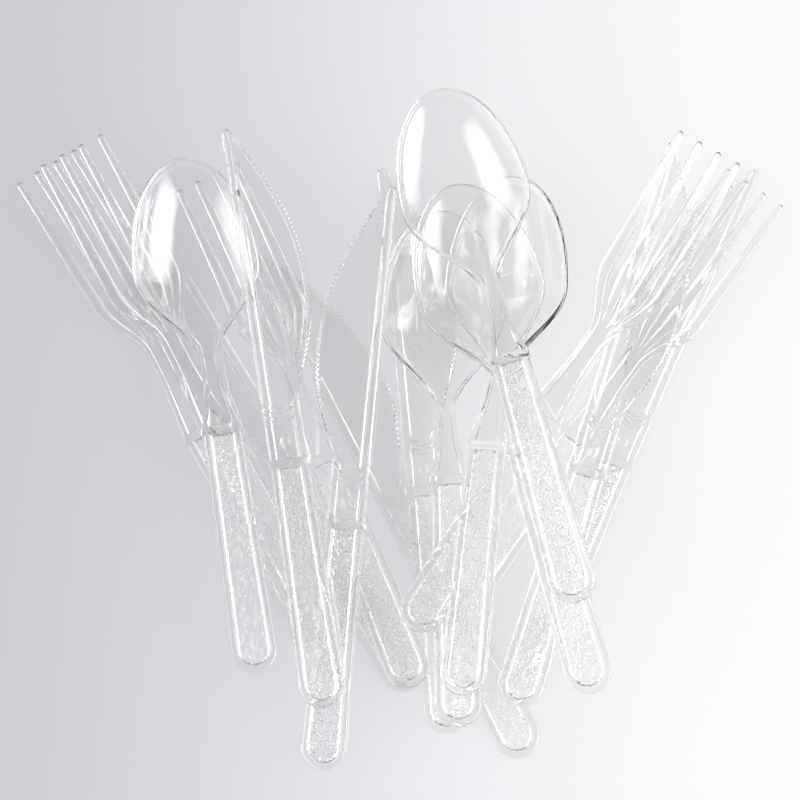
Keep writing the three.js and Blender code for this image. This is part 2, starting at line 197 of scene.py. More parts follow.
def slab(name, middle, half, is_slot=None, marks=None):
    """A closed mesh from rows of points on the middle surface and half the thickness at each.
    marks are named numbers at each point, each kept on both faces or on the upper one alone."""
    rows = len(middle)
    across = np.gradient(middle, axis=1)
    along = np.gradient(middle, axis=0)
    normal = np.cross(across, along)
    normal /= np.linalg.norm(normal, axis=2, keepdims=True)
    upper = middle + normal * half[..., None]
    lower = middle - normal * half[..., None]
    solid = np.ones((rows + 1, COLUMNS + 1), bool)
    solid[[0, -1], :] = False
    solid[:, [0, -1]] = False
    if is_slot is not None:
        solid[1:-1, 1:-1] &= ~is_slot

    index = np.arange(rows * COLUMNS).reshape(rows, COLUMNS)
    under = index + rows * COLUMNS
    corners = [index[:-1, :-1], index[:-1, 1:], index[1:, 1:], index[1:, :-1]]
    lower_corners = [under[:-1, :-1], under[1:, :-1], under[1:, 1:], under[:-1, 1:]]
    inside = solid[1:-1, 1:-1]
    faces = [np.stack([c[inside] for c in group], 1) for group in (corners, lower_corners)]
    neighbours = [solid[:-2, 1:-1], solid[1:-1, 2:], solid[2:, 1:-1], solid[1:-1, :-2]]
    for side, beyond in enumerate(neighbours):
        edge = inside & ~beyond
        a, b = corners[side][edge], corners[(side + 1) % 4][edge]
        faces.append(np.stack([b, a, a + rows * COLUMNS, b + rows * COLUMNS], 1))
    faces = np.concatenate(faces)

    points = np.concatenate([upper.reshape(-1, 3), lower.reshape(-1, 3)]) * MM
    used = np.unique(faces)
    renumber = np.full(len(points), -1)
    renumber[used] = np.arange(len(used))
    mesh = bpy.data.meshes.new(name)
    mesh.from_pydata(points[used], [], renumber[faces].tolist())
    for mark, (values, on_both) in (marks or {}).items():
        flat = np.concatenate([values.ravel(), values.ravel() * on_both])[used]
        mesh.attributes.new(mark, "FLOAT", "POINT").data.foreach_set("value", flat.astype(np.float32))
    mesh.validate()
    return mesh


print("a slab has", COLUMNS, "columns of points")

# %% [markdown]
# The handle is the same on all three kinds. Two bars run along it, and between them lies a thinner
# panel with a pebbled surface. The half-thickness is a function of one thing, the distance from
# the outline, so the rail turns round the end by itself. The end is a half disc. Rows that simply
# shrank towards it would crowd at a point, so a square grid is bent into the half disc instead.

# %% The handle
# Where the ten columns of a rail lie, as shares of its width: closest at its rounded edge
RAIL_OFFSETS = np.array([0, 0.06, 0.2, 0.42, 0.75, 1.25, 1.75, 2.1, 2.4, 2.7]) / RAIL_WIDTH
# From this share of its width on, a rail falls to the panel
RAIL_FOOT = 0.72
# How far apart the rows lie, over the panel and on plain stretches
PANEL_PITCH = 0.53
PLAIN_PITCH = 0.8
# The step down from the band, and the close rows that it needs
BAND_STEP = 0.3
PAST_BAND = FRONT + np.array([0.08, 0.2, 0.35])
PLAIN_START = FRONT + 0.7
END_RADIUS = HANDLE_END_WIDTH / 2


def bar_half(distance, thickness, radius=EDGE_RADIUS):
    """Half the thickness of a bar with rounded edges, at some distance from its edge."""
    inside = np.clip(distance, 0, radius)
    return thickness / 2 - radius + np.sqrt(radius**2 - (radius - inside) ** 2)


def rail_half(distance, rail, thickness, panel):
    """The same for a rail with a crowned top, beside a thinner panel."""
    off_crest = np.clip(distance / (rail / 2) - 1, -1, 1)
    crowned = bar_half(distance, thickness) - RAIL_CROWN / 2 * off_crest**2
    return mix(crowned, panel / 2, smooth(rail * RAIL_FOOT, rail, distance))


def railed_row(width, rail):
    """Where the columns lie across a part with two rails: outermost first, then the panel."""
    edge = width / 2 - RAIL_OFFSETS * rail
    inner = np.linspace(-1, 1, 2 * BLOCK + 2)[1:-1] * (width / 2 - rail)
    return np.concatenate([-edge, inner, edge[::-1]])


def handle_width(y):
    share = np.clip((y - END_RADIUS) / (HANDLE_LENGTH - END_RADIUS), 0, 1)
    return mix(HANDLE_END_WIDTH, HANDLE_FRONT_WIDTH, share)


def end_rows():
    """The rounded end of the handle, from its rim to its widest row."""
    flat = railed_row(HANDLE_END_WIDTH, RAIL_WIDTH) / END_RADIUS
    panel_depths = steps(RAIL_WIDTH + PANEL_PITCH, END_RADIUS, PANEL_PITCH)
    depths = np.concatenate([RAIL_OFFSETS * RAIL_WIDTH, panel_depths])
    reach = (1 - depths / END_RADIUS)[:, None]
    x = flat * np.sqrt(1 - reach**2 / 2) * END_RADIUS
    y = END_RADIUS - reach * np.sqrt(1 - flat**2 / 2) * END_RADIUS
    distance = END_RADIUS - np.hypot(x, END_RADIUS - y)
    return x, y, rail_half(distance, RAIL_WIDTH, RAIL_THICKNESS, PANEL_THICKNESS), distance


def straight_rows():
    """The rest of the handle, up to the front of the raised band."""
    band_rows = HANDLE_LENGTH + np.array([-0.35, -0.2, -0.08, 0, 0.15, 0.5, 1.2, 1.9, 2.25, 2.4])
    y0 = np.concatenate([steps(END_RADIUS, HANDLE_LENGTH - 0.4, PANEL_PITCH), band_rows])
    band = smooth(HANDLE_LENGTH - 0.25, HANDLE_LENGTH + 0.05, y0)
    x = np.array([railed_row(handle_width(y) + 2 * BAND_PROUD * b, RAIL_WIDTH) for y, b in zip(y0, band)])
    y = np.repeat(y0[:, None], COLUMNS, axis=1)
    distance = x[:, -1:] - np.abs(x)
    railed = rail_half(distance, RAIL_WIDTH, RAIL_THICKNESS, PANEL_THICKNESS)
    crown = BAND_CROWN * smooth(0, 0.5, np.minimum(y0 - HANDLE_LENGTH, FRONT - y0))[:, None]
    raised = bar_half(distance, RAIL_THICKNESS) - BAND_CROWN + crown
    return x, y, mix(railed, raised, band[:, None]), distance


def handle_rows():
    parts = zip(end_rows(), straight_rows())
    x, y, half, distance = (np.concatenate(pair) for pair in parts)
    inside_panel = smooth(RAIL_WIDTH, RAIL_WIDTH + 0.3, distance)
    panel = inside_panel * (1 - smooth(HANDLE_LENGTH - 0.8, HANDLE_LENGTH - 0.4, y))
    return x, y, half, panel


handle = handle_rows()
print("the handle takes", len(handle[0]), "rows")

# %% [markdown]
# The knife. Its blade is a web one millimetre thick that hangs from a thick, straight spine. On the
# real one a clear front with a small boss joins it to the handle, and two thick scalloped rims
# stand across its root. The rows of the grid bow there, so that they run along the scallop and its
# rims stay crisp. The cutting edge is thickened into a bead, and there are four rows of the grid to
# a tooth. A later step bites the gaps between the teeth out of the bead, slanted a little as on the
# real edge.

# %% The knife
SCALLOP = FRONT + KNIFE_FRONT_LENGTH
BLADE_START = SCALLOP + 2 * SCALLOP_RIM + SCALLOP_GAP + 1
BLADE_RUN = KNIFE_LENGTH - BLADE_START
SPINE = -HANDLE_FRONT_WIDTH / 2
# How softly a scalloped rim rises, and how much slimmer the boss is towards the handle
RIM_STEP = 0.4
BOSS_TAPER = 0.35
# The rim across the blade's root stands this much over the web
ROOT_RIM = 0.6
# The thickness at the very tip, as a share lost, and the stretch in which it is lost
TIP_THINNING = 0.45
TIP_ROUNDING = 1.2


def blade_width(run):
    swell = np.sin(math.pi / 2 * np.clip(run / BLADE_WIDEST_AT, 0, 1))
    rising = mix(HANDLE_FRONT_WIDTH, BLADE_WIDTH, swell)
    t = np.clip((run - BLADE_WIDEST_AT) / (BLADE_RUN - BLADE_WIDEST_AT), 0, 1)
    falling = mix(BLADE_TIP_WIDTH, BLADE_WIDTH, np.cos(math.pi / 2 * t**BLADE_TAPER))
    return np.where(run < BLADE_WIDEST_AT, rising, falling)


def knife_root_row(q):
    """One row between the band and the blade: two rails, a thinner front, and the scalloped rims."""
    x = railed_row(HANDLE_FRONT_WIDTH, RAIL_WIDTH)
    distance = HANDLE_FRONT_WIDTH / 2 - np.abs(x)
    bow = SCALLOP_DEPTH * smooth(FRONT, SCALLOP, q)
    y = q + bow * (x / x[-1]) ** 2
    top = mix(RAIL_THICKNESS, SPINE_THICKNESS, smooth(SCALLOP - 4, SCALLOP, q))
    half = rail_half(distance, RAIL_WIDTH, top, KNIFE_FRONT_THICKNESS)
    for start in (SCALLOP, SCALLOP + SCALLOP_RIM + SCALLOP_GAP):
        end = start + SCALLOP_RIM
        rim = smooth(start, start + RIM_STEP, q) * (1 - smooth(end, end + RIM_STEP, q))
        half = mix(half, np.maximum(half, bar_half(distance, top)), rim)
    band_edge = 1 - smooth(FRONT, FRONT + BAND_STEP, q)
    half = mix(half, bar_half(distance, RAIL_THICKNESS) - BAND_CROWN, band_edge)
    centre = FRONT + KNIFE_FRONT_LENGTH / 2
    taper = 1 - BOSS_TAPER * smooth(0, BOSS_LENGTH / 2, centre - y)
    inside = 1 - (x / (BOSS_WIDTH / 2 * taper)) ** 2 - ((y - centre) / (BOSS_LENGTH / 2)) ** 2
    boss = (BOSS_THICKNESS - KNIFE_FRONT_THICKNESS) / 2 * np.sqrt(np.clip(inside, 0, 1))
    return x, y, half + boss


def blade_row(q):
    """One row of the blade, from the bead of the spine to the cutting edge."""
    run = q - BLADE_START
    share = run / BLADE_RUN
    width = blade_width(run)
    bead_width = min(SPINE_WIDTH, width * 0.6)
    bead = mix(SPINE_THICKNESS, SPINE_TIP_THICKNESS, share)
    edge_zone = min(EDGE_ZONE, (width - bead_width) * 0.4)
    spine_side = SPINE + RAIL_OFFSETS * bead_width
    edge_side = SPINE + width - RAIL_OFFSETS[::-1] * edge_zone
    web = np.linspace(spine_side[-1], edge_side[0], 2 * BLOCK + 2)[1:-1]
    x = np.concatenate([spine_side, web, edge_side])
    from_spine, from_edge = x - SPINE, SPINE + width - x
    web_half = mix(EDGE_THICKNESS, WEB_THICKNESS, smooth(0, EDGE_ZONE, from_edge)) / 2
    radius = min(EDGE_RADIUS, bead / 2 - 0.1)
    off_crest = np.clip(from_spine / (bead_width / 2) - 1, -1, 1)
    bead_half = bar_half(from_spine, bead, radius) - min(RAIL_CROWN, 0.35 * bead) / 2 * off_crest**2
    half = mix(bead_half, web_half, smooth(bead_width * RAIL_FOOT, bead_width, from_spine))
    root = 1 - smooth(0, 0.5, run)
    half = mix(half, np.maximum(half, bar_half(from_edge, WEB_THICKNESS + ROOT_RIM, 0.4)), root)
    tip = smooth(BLADE_RUN - TIP_ROUNDING, BLADE_RUN, run)
    half = np.maximum(half * (1 - TIP_THINNING * tip), 0.2)
    bow = mix(SCALLOP_DEPTH, -BLADE_TIP_WIDTH / 2, smooth(0, 1, share))
    centre, reach = SPINE + width / 2, width / 2
    y = q + bow * ((x - centre) / reach) ** 2
    near_edge = 1 - smooth(0.6 * TOOTH_ZONE, TOOTH_ZONE, from_edge)
    fading = smooth(BLADE_RUN - TEETH_OUT[0], BLADE_RUN - TEETH_OUT[1], run)
    toothed = smooth(*TEETH_IN, run) * (1 - fading)
    half = np.maximum(half, TOOTH_BEAD / 2 * near_edge * toothed)
    # The last two say where teeth are, and how far along the edge each point lies, with the slant
    return x, y, half, near_edge * toothed, run + TOOTH_SLANT * from_edge


def knife_mesh():
    rim_end = BLADE_START - 0.1
    boss_start = FRONT + (KNIFE_FRONT_LENGTH - BOSS_LENGTH) / 2 - 0.5
    root_rows = [
        *PAST_BAND,
        *steps(PLAIN_START, boss_start, PLAIN_PITCH),
        *steps(boss_start, SCALLOP - 0.2, 0.3),
        *steps(SCALLOP - 0.2, rim_end, 0.12),
        rim_end,
    ]
    root = [knife_root_row(q) for q in root_rows]
    blade_rows = [
        *np.arange(BLADE_START, KNIFE_LENGTH - 1.6, TOOTH_PITCH / 4),
        *(KNIFE_LENGTH - np.array([1.3, 1.0, 0.7, 0.45, 0.25, 0.1, 0])),
    ]
    blade = [blade_row(q) for q in blade_rows]
    none = np.zeros((len(handle[0]) + len(root), COLUMNS))
    x = np.concatenate([handle[0], [r[0] for r in root], [r[0] for r in blade]])
    y = np.concatenate([handle[1], [r[1] for r in root], [r[1] for r in blade]])
    half = np.concatenate([handle[2], [r[2] for r in root], [r[2] for r in blade]])
    panel = np.concatenate([handle[3], np.zeros((len(root) + len(blade), COLUMNS))])
    tooth = np.concatenate([none, [r[3] for r in blade]])
    run = np.concatenate([none, [r[4] for r in blade]]) * MM
    middle = np.stack([x, y, np.zeros_like(x)], 2)
    marks = {"panel": (panel, False), "tooth": (tooth, True), "run": (run, True)}
    return slab("knife", middle, half, marks=marks)


# %% [markdown]
# The spoon. Its bowl is an egg in plan: a half ellipse towards the tip, and a soft taper into the
# neck. A sphere that is squashed and cut would need its wall and lip made afterwards. Here the wall
# thickness and the thicker lip are in the same function as the shape. The two ridges of the neck
# are the handle's rails, drawn together, and they fade where the bowl begins.

# %% The spoon
BOWL_START = SPOON_LENGTH - BOWL_LENGTH
# Over 1, a neck draws in quickly past the band and then slowly
NECK_DRAW = 1.32
# How far apart the bowl's rows lie, as a share of its length
BOWL_STEP = 0.008


def neck_rows(neck_width, neck_rail, neck_end):
    """The rows from the band to the end of a neck, with the width drawn in along the way."""
    neck_start = neck_end - NECK_LENGTH
    y0 = np.array([*PAST_BAND, *steps(PLAIN_START, neck_end, PLAIN_PITCH)])
    t = np.clip((y0 - FRONT) / (neck_start - FRONT), 0, 1)
    drawn = 1 - (1 - t) ** NECK_DRAW
    width, rail = mix(HANDLE_FRONT_WIDTH, neck_width, drawn), mix(RAIL_WIDTH, neck_rail, drawn)
    x = np.array([railed_row(w, r) for w, r in zip(width, rail)])
    y = np.repeat(y0[:, None], COLUMNS, axis=1)
    distance = x[:, -1:] - np.abs(x)
    half = rail_half(distance, rail[:, None], NECK_THICKNESS, NECK_PANEL_THICKNESS)
    band_edge = 1 - smooth(FRONT, FRONT + BAND_STEP, y)
    return x, y, mix(half, bar_half(distance, RAIL_THICKNESS) - BAND_CROWN, band_edge)


def spoon_lift(y):
    along = np.clip(y - BOWL_START, 0, None)
    tilt = BOWL_TILT * along * smooth(0, BOWL_TILT_START, along)
    return -SPOON_DROP * smooth(FRONT, BOWL_START, y) + tilt


def bowl_half_width(t):
    tip_share = np.clip((t - BOWL_WIDEST_AT) / (1 - BOWL_WIDEST_AT), 0, 1)
    rounded = BOWL_WIDTH / 2 * np.sqrt(1 - tip_share**2)
    swell = 0.5 - 0.5 * np.cos(math.pi * np.clip(t / BOWL_WIDEST_AT, 0, 1) ** BOWL_SHOULDER)
    return np.where(t > BOWL_WIDEST_AT, rounded, mix(SPOON_NECK_WIDTH / 2, BOWL_WIDTH / 2, swell))


def bowl_depth(t):
    to_tip = np.clip((t - BOWL_DEEPEST_AT) / (1 - BOWL_DEEPEST_AT), 0, 1) ** BOWL_TIP_POWER
    to_neck = np.clip((BOWL_DEEPEST_AT - t) / BOWL_DEEPEST_AT, 0, 1) ** BOWL_NECK_POWER
    return BOWL_DEPTH * (1 - to_tip - to_neck)


def spoon_mesh():
    neck_x, neck_y, neck_half = neck_rows(SPOON_NECK_WIDTH, SPOON_NECK_RAIL, BOWL_START)
    lip = 1 - np.array([0, 0.003, 0.01, 0.022, 0.038, 0.06, 0.09, 0.14, 0.21, 0.3])
    inner = np.linspace(-1, 1, 2 * BLOCK + 2)[1:-1] * lip[-1]
    rim_columns = np.concatenate([-lip, inner, lip[::-1]])
    neck_columns = railed_row(SPOON_NECK_WIDTH, SPOON_NECK_RAIL) / (SPOON_NECK_WIDTH / 2)

    # From the neck to the widest place the rows are straight
    t0 = np.array(steps(0, BOWL_WIDEST_AT, BOWL_STEP))[:, None]
    columns = mix(neck_columns, rim_columns, smooth(0, 0.25, t0))
    root_x = columns * bowl_half_width(t0)
    root_y = np.repeat(BOWL_START + t0 * BOWL_LENGTH, COLUMNS, axis=1)
    # Beyond it they are bent into a half ellipse
    reach = np.concatenate([np.linspace(0, 0.9, 50), [0.93, 0.955, 0.972, 0.985, 0.994, 1]])[:, None]
    tip_x = rim_columns * np.sqrt(1 - reach**2 / 2) * BOWL_WIDTH / 2
    far = (1 - BOWL_WIDEST_AT) * BOWL_LENGTH
    tip_y = BOWL_START + BOWL_WIDEST_AT * BOWL_LENGTH + reach * np.sqrt(1 - rim_columns**2 / 2) * far

    x, y = np.concatenate([root_x, tip_x]), np.concatenate([root_y, tip_y])
    t = (y - BOWL_START) / BOWL_LENGTH
    width = np.maximum(bowl_half_width(t), 1e-3)
    across = np.clip(x / width, -1, 1)
    side = (1 - np.abs(across)) * width
    tip_share = np.clip((t - BOWL_WIDEST_AT) / (1 - BOWL_WIDEST_AT), 0, 1)
    ahead = (1 - np.hypot(x / (BOWL_WIDTH / 2), tip_share)) * mix(BOWL_WIDTH / 2, far, tip_share**2)
    from_rim = np.where(t > BOWL_WIDEST_AT, np.abs(ahead), side)
    wall = mix(BOWL_RIM_THICKNESS, BOWL_THICKNESS, smooth(0.6 * BOWL_RIM_WIDTH, BOWL_RIM_WIDTH, from_rim))
    bowl_half = bar_half(from_rim, wall, 0.55)
    ridges = rail_half(side, SPOON_NECK_RAIL, NECK_THICKNESS, NECK_PANEL_THICKNESS)
    bowl_half = mix(ridges, bowl_half, smooth(0, RIDGES_END_AT, t))

    x = np.concatenate([handle[0], neck_x, x])
    y = np.concatenate([handle[1], neck_y, y])
    half = np.concatenate([handle[2], neck_half, bowl_half])
    dish = np.zeros_like(x)
    dish[-len(t):] = bowl_depth(t) * (1 - across**2)
    panel = np.zeros_like(x)
    panel[: len(handle[3])] = handle[3]
    middle = np.stack([x, y, spoon_lift(y) - dish], 2)
    return slab("spoon", middle, half, marks={"panel": (panel, False)})


# %% [markdown]
# The fork. Its four tines are bars with flat crowns and bevelled flanks. They don't stop at the
# slots: each one goes on as a ridge down the palm, with a thin flute between it and the next, and all
# four draw together into the neck. So the columns are shared out, ten to a tine, from the root on.
# Where a slot is, the cells between two tines are simply left out, which gives the square-cut end of
# a moulded slot.

# %% The fork
ROOT = FORK_LENGTH - TINE_LENGTH
PALM_START = ROOT - PALM_LENGTH
TINE_SPACING = (FORK_HEAD_WIDTH - TINE_ROOT_WIDTH) / (TINES - 1)
TINE_ACROSS = np.array([-1, -0.95, -0.8, -0.62, -0.3, 0.3, 0.62, 0.8, 0.95, 1])
# How thick a tine's edges are at its tip, and the stretch in which the tip is rounded
TINE_TIP_EDGE = 0.8
TINE_TIP_ROUNDING = 0.95
# How far apart the rows lie on the palm and the tines
PALM_PITCH = 0.7
TINE_PITCH = 0.9


def fork_lift(y):
    bend = mix(PALM_START, ROOT, FORK_BEND_AT)
    t = np.clip((y - bend) / (FORK_LENGTH - bend), 0, 1)
    return -FORK_DROP * smooth(FRONT, bend, y) + FORK_RISE * t**FORK_CURL


def tine_row(width):
    centres = (np.arange(TINES) - (TINES - 1) / 2) * TINE_SPACING
    return (centres[:, None] + TINE_ACROSS * width / 2).ravel()


def tine_half(thickness, edge):
    """Across one tine: a flat crown between two bevelled flanks, down to thinner edges."""
    crown = smooth(0, TINE_FLANK, 1 - np.abs(TINE_ACROSS))
    return np.tile(mix(edge / 2, thickness / 2, crown), TINES)


def fork_mesh():
    neck_x, neck_y, neck_half = neck_rows(FORK_NECK_WIDTH, FORK_NECK_RAIL, PALM_START)
    neck = railed_row(FORK_NECK_WIDTH, FORK_NECK_RAIL)
    from_side = FORK_NECK_WIDTH / 2 - np.abs(neck)
    neck_profile = rail_half(from_side, FORK_NECK_RAIL, NECK_THICKNESS, NECK_PANEL_THICKNESS)

    share = np.array(steps(0, 1, PALM_PITCH / PALM_LENGTH) + [1.0])[:, None]
    widening = smooth(0, 1, share)
    palm_x = mix(neck, tine_row(TINE_ROOT_WIDTH), widening)
    palm_y = np.repeat(mix(PALM_START, ROOT, share), COLUMNS, axis=1)
    ridged = tine_half(TINE_THICKNESS, PALM_WEB_THICKNESS)
    palm_half = mix(neck_profile, ridged, smooth(0, 0.55, share))

    tip_rows = 1 - np.array([0.02, 0.014, 0.009, 0.005, 0.002, 0])
    along = np.concatenate([steps(0, 0.975, TINE_PITCH / TINE_LENGTH), tip_rows])
    along = along[along > 0]
    width = mix(TINE_ROOT_WIDTH, TINE_TIP_WIDTH, along**TINE_TAPER)
    thickness = mix(TINE_THICKNESS, TINE_TIP_THICKNESS, along)
    from_tip = (1 - along) * TINE_LENGTH
    rounding = np.sqrt(np.clip(1 - (1 - np.clip(from_tip / TINE_TIP_ROUNDING, 0, 1)) ** 2, 0.09, 1))
    tine_x = np.array([tine_row(w * r) for w, r in zip(width, rounding)])
    tine_y = np.repeat((ROOT + along * TINE_LENGTH)[:, None], COLUMNS, axis=1)
    tine_edge = mix(PALM_WEB_THICKNESS, TINE_TIP_EDGE, along)
    tines = np.array([tine_half(t * r, e * r) for t, e, r in zip(thickness, tine_edge, rounding)])

    x = np.concatenate([handle[0], neck_x, palm_x, tine_x])
    y = np.concatenate([handle[1], neck_y, palm_y, tine_y])
    half = np.concatenate([handle[2], neck_half, palm_half, tines])
    panel = np.zeros_like(x)
    panel[: len(handle[3])] = handle[3]
    slots = np.zeros((len(x) - 1, COLUMNS - 1), bool)
    slots[-len(tine_x):, BLOCK - 1::BLOCK] = True
    middle = np.stack([x, y, fork_lift(y)], 2)
    return slab("fork", middle, half, is_slot=slots, marks={"panel": (panel, False)})


forms = {"knife": knife_mesh(), "spoon": spoon_mesh(), "fork": fork_mesh()}
for kind, mesh in forms.items():
    print(kind, "has", len(mesh.vertices), "points and", len(mesh.polygons), "faces")

# %% [markdown]
# Materials. Crystal polystyrene is a general-purpose clear plastic, injected into a polished steel
# mould. It bends light more than window glass does (IOR 1.59), which is why its edges look so
# bright and so grey at once. The moulded surface is very smooth but never quite flat: the melt
# leaves faint flow waves, a few millimetres long, and handling leaves small dull patches. The
# pebbled panel is duller than the rest. A clear piece would shut out the lamps and print a black
# shadow, since rays to a lamp don't bend. For those rays, and for the soft light that the floor
# gathers, the plastic is a plain pale filter.

# %% A helper for nodes, and colours
def add(tree, kind, inputs=None, **settings):
    """Adds a node to a tree, with its settings, and sets or links its inputs."""
    node = tree.nodes.new(kind)
    for name, value in settings.items():
        setattr(node, name, value)
    for key, value in (inputs or {}).items():
        if isinstance(value, bpy.types.NodeSocket):
            tree.links.new(value, node.inputs[key])
        else:
            node.inputs[key].default_value = value
    return node


def linear(hex_colour):
    """An sRGB hex colour as linear values, with alpha."""
    parts = [int(hex_colour[n:n + 2], 16) / 255 for n in (1, 3, 5)]
    return tuple(c / 12.92 if c <= 0.04045 else ((c + 0.055) / 1.055) ** 2.4 for c in parts) + (1.0,)


# %% Crystal polystyrene
IOR = 1.59
PLASTIC = "#FDFDFD"
FILTER = "#FBFBFB"
# Sizes in millimetres
PEBBLE_SIZE = 0.85
PEBBLE_HEIGHT = 0.5
WAVE_LENGTH = 6.25
WAVE_HEIGHT = 0.6
PATCH_SIZE = 10 / 3
# How dull the patches and the panel are
PATCH_ROUGHNESS = 0.05
PANEL_ROUGHNESS = 0.06


def crystal_polystyrene():
    material = bpy.data.materials.new("crystal_polystyrene_moulded")
    material.use_nodes = True
    tree = material.node_tree
    tree.nodes.clear()
    place = add(tree, "ShaderNodeTexCoord").outputs["Object"]
    panel = add(tree, "ShaderNodeAttribute", attribute_name="panel").outputs["Fac"]

    # Dull patches, and the duller panel
    handling = add(tree, "ShaderNodeTexNoise", {
        "Vector": place,
        "Scale": 1 / (PATCH_SIZE * MM),
        "Detail": 0.0,
    })
    handled = add(tree, "ShaderNodeMapRange", {
        "Value": handling.outputs["Fac"],
        "From Min": 0.58,
        "From Max": 0.75,
        "To Max": PATCH_ROUGHNESS,
    })
    roughness = add(tree, "ShaderNodeMapRange", {
        "Value": panel,
        "To Min": handled.outputs["Result"],
        "To Max": PANEL_ROUGHNESS,
    })

    # Flow waves, and pebbles where the panel is
    waves = add(tree, "ShaderNodeTexNoise", {
        "Vector": place,
        "Scale": 1 / (WAVE_LENGTH * MM),
        "Detail": 0.0,
    })
    flow = add(tree, "ShaderNodeBump", {
        "Height": waves.outputs["Fac"],
        "Strength": 0.08,
        "Distance": WAVE_HEIGHT * MM,
    })
    pebble = add(tree, "ShaderNodeTexVoronoi", {
        "Vector": place,
        "Scale": 1 / (PEBBLE_SIZE * MM),
    }, voronoi_dimensions="2D")
    grain = add(tree, "ShaderNodeMath", {
        0: pebble.outputs["Distance"],
        1: panel,
    }, operation="MULTIPLY")
    normal = add(tree, "ShaderNodeBump", {
        "Height": grain.outputs[0],
        "Normal": flow.outputs["Normal"],
        "Strength": 1.0,
        "Distance": PEBBLE_HEIGHT * MM,
    }, invert=True)

    # The plastic itself, and the filter that it is for shadow rays and for the floor's soft light
    plastic = add(tree, "ShaderNodeBsdfPrincipled", {
        "Base Color": linear(PLASTIC),
        "Roughness": roughness.outputs["Result"],
        "IOR": IOR,
        "Transmission Weight": 1.0,
        "Normal": normal.outputs["Normal"],
    }, distribution="GGX")
    filtered = add(tree, "ShaderNodeBsdfTransparent", {"Color": linear(FILTER)})
    path = add(tree, "ShaderNodeLightPath").outputs
    to_floor = add(tree, "ShaderNodeMixShader", {
        0: path["Is Diffuse Ray"],
        1: plastic.outputs[0],
        2: filtered.outputs[0],
    })
    surface = add(tree, "ShaderNodeMixShader", {
        0: path["Is Shadow Ray"],
        1: to_floor.outputs[0],
        2: filtered.outputs[0],
    })
    add(tree, "ShaderNodeOutputMaterial", {"Surface": surface.outputs[0]})
    return material


plastic = crystal_polystyrene()
print("made", plastic.name)

# %% [markdown]
# The pebbled panel and the teeth repeat by a rule, so Geometry Nodes make them. Both trees move the
# points of the slab: the first raises small grains where the panel mark is set, and the second
# bites into the cutting edge once for each pitch. The modelled grains are 1.8 mm across, the coarse
# swell of the real panel. The pebbles of under a millimetre that lie on it are a bump.

# %% What the two trees share
def moulding_tree(name, sizes):
    """Makes a tree that takes a mesh, named values (lengths in metres) and a material.
    Returns the tree and the sockets of what it is given."""
    tree = bpy.data.node_groups.new(name, "GeometryNodeTree")
    face = tree.interface
    face.new_socket("Geometry", in_out="INPUT", socket_type="NodeSocketGeometry")
    for size_name, value in sizes.items():
        socket = face.new_socket(size_name, in_out="INPUT", socket_type="NodeSocketFloat")
        socket.default_value = value
    face.new_socket("Material", in_out="INPUT", socket_type="NodeSocketMaterial")
    face.new_socket("Geometry", in_out="OUTPUT", socket_type="NodeSocketGeometry")
    return tree, add(tree, "NodeGroupInput").outputs


def move_points(tree, given, offset):
    """Ends a tree: every point moves by the offset, and the result is one plain mesh."""
    moved = add(tree, "GeometryNodeSetPosition", {"Geometry": given["Geometry"], "Offset": offset})
    real = add(tree, "GeometryNodeRealizeInstances", {"Geometry": moved.outputs[0]})
    done = add(tree, "GeometryNodeSetMaterial", {
        "Geometry": real.outputs[0],
        "Material": given["Material"],
    })
    add(tree, "NodeGroupOutput", {"Geometry": done.outputs[0]})
    return tree


# %% The tree that makes the grains
GRAIN_SIZE = 1.8
GRAIN_HEIGHT = 0.6
# The square of the distance from a grain's middle, in grain sizes, at which its surface is level
GRAIN_LEVEL = 0.2


def grain_tree():
    sizes = {"Grain Size": GRAIN_SIZE * MM, "Grain Height": GRAIN_HEIGHT * MM, "Seed": 3.0}
    tree, given = moulding_tree("pebbled_panel", sizes)
    place = add(tree, "GeometryNodeInputPosition").outputs[0]
    panel = add(tree, "GeometryNodeInputNamedAttribute", {"Name": "panel"}, data_type="FLOAT")
    density = add(tree, "ShaderNodeMath", {0: 1.0, 1: given["Grain Size"]}, operation="DIVIDE")
    shift = add(tree, "ShaderNodeVectorMath", {0: place, 1: given["Seed"]}, operation="ADD")
    cells = add(tree, "ShaderNodeTexVoronoi", {
        "Vector": shift.outputs[0],
        "Scale": density.outputs[0],
        "Smoothness": 0.15,
    }, feature="SMOOTH_F1").outputs["Distance"]
    domed = add(tree, "ShaderNodeMath", {0: cells, 1: cells}, operation="MULTIPLY")
    height = add(tree, "ShaderNodeMath", {0: GRAIN_LEVEL, 1: domed.outputs[0]}, operation="SUBTRACT")
    scaled = add(tree, "ShaderNodeMath", {
        0: height.outputs[0],
        1: given["Grain Height"],
    }, operation="MULTIPLY")
    masked = add(tree, "ShaderNodeMath", {
        0: scaled.outputs[0],
        1: panel.outputs["Attribute"],
    }, operation="MULTIPLY")
    offset = add(tree, "ShaderNodeVectorMath", {
        0: add(tree, "GeometryNodeInputNormal").outputs[0],
        "Scale": masked.outputs[0],
    }, operation="SCALE")
    return move_points(tree, given, offset.outputs[0])


